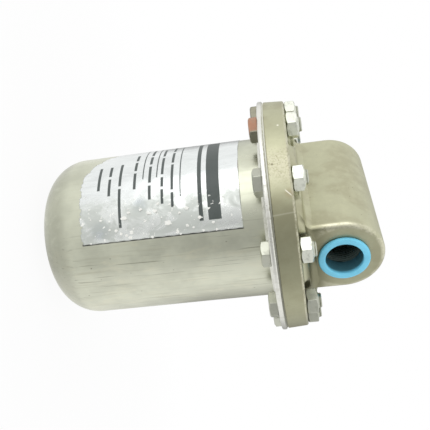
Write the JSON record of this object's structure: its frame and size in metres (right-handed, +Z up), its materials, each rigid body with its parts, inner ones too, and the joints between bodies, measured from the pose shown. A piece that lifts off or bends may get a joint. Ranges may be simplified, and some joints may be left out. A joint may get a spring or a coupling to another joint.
{
  "type": "inverted bucket steam trap",
  "caption": "Inverted bucket steam trap: bolted cast cap with two in-line tapped ports, drawn canister, and a bucket, lever and valve inside.",
  "frame": {"origin": "on the pipe's axis, where the inlet's tapped wall begins, 10 mm inside the inlet's face", "axes": "+X along the pipe from inlet to outlet, +Z up along the canister's axis from dome to cap, +Y to the left of the flow"},
  "size_m": [0.147, 0.147, 0.2106],
  "materials": {
    "cast_steel": "cast stainless steel, satin, with a warm olive cast and worn edges",
    "drawn_steel": "drawn stainless sheet, satin, with fine scratches",
    "bright_steel": "machined or stamped stainless steel",
    "plated_fasteners": "bright zinc plate, dulled and stained",
    "gasket": "compressed dark graphite sheet",
    "blue_plastic": "light blue moulded polyethylene",
    "foil": "thin scuffed foil, bare"
  },
  "bodies": {
    "trap": {"cap": "cast_steel", "canister": "drawn_steel", "lip_ring": "bright_steel", "flange_gasket": "gasket", "flange_bolts": "plated_fasteners", "flange_nuts": "plated_fasteners", "valve_seat": "bright_steel", "lever_bracket": "bright_steel", "bracket_screws": "bright_steel", "fulcrum_pin": "bright_steel", "fulcrum_clip": "bright_steel", "inlet_tube": "bright_steel", "foil_label": "foil"},
    "lever": {"lever": "bright_steel", "valve": "bright_steel", "valve_washer": "bright_steel"},
    "bucket": {"bucket": "drawn_steel", "bucket_weight": "bright_steel", "bucket_hanger": "bright_steel", "hanger_rivets": "bright_steel", "hanger_pin": "bright_steel", "hanger_clip": "bright_steel"},
    "inlet_protector": {"inlet_protector": "blue_plastic"},
    "outlet_protector": {"outlet_protector": "blue_plastic"}
  },
  "joints": [
    {"name": "lever_swing", "type": "hinge", "parent": "trap", "child": "lever", "pos_m": [0.0212, 0, -0.05247], "axis": [0, -1, 0], "range_deg": [0, 10]},
    {"name": "bucket_hang", "type": "hinge", "parent": "lever", "child": "bucket", "pos_m": [0.0468, 0, -0.05699], "axis": [0, -1, 0], "range_deg": [-10, 0]},
    {"name": "inlet_protector_pull", "type": "slide", "parent": "trap", "child": "inlet_protector", "axis": [-1, 0, 0], "range_m": [0, 0.12]},
    {"name": "outlet_protector_pull", "type": "slide", "parent": "trap", "child": "outlet_protector", "axis": [1, 0, 0], "range_m": [0, 0.12]}
  ],
  "couplings": [
    {"joint": "bucket_hang", "follows": "lever_swing", "ratio": -1}
  ]
}
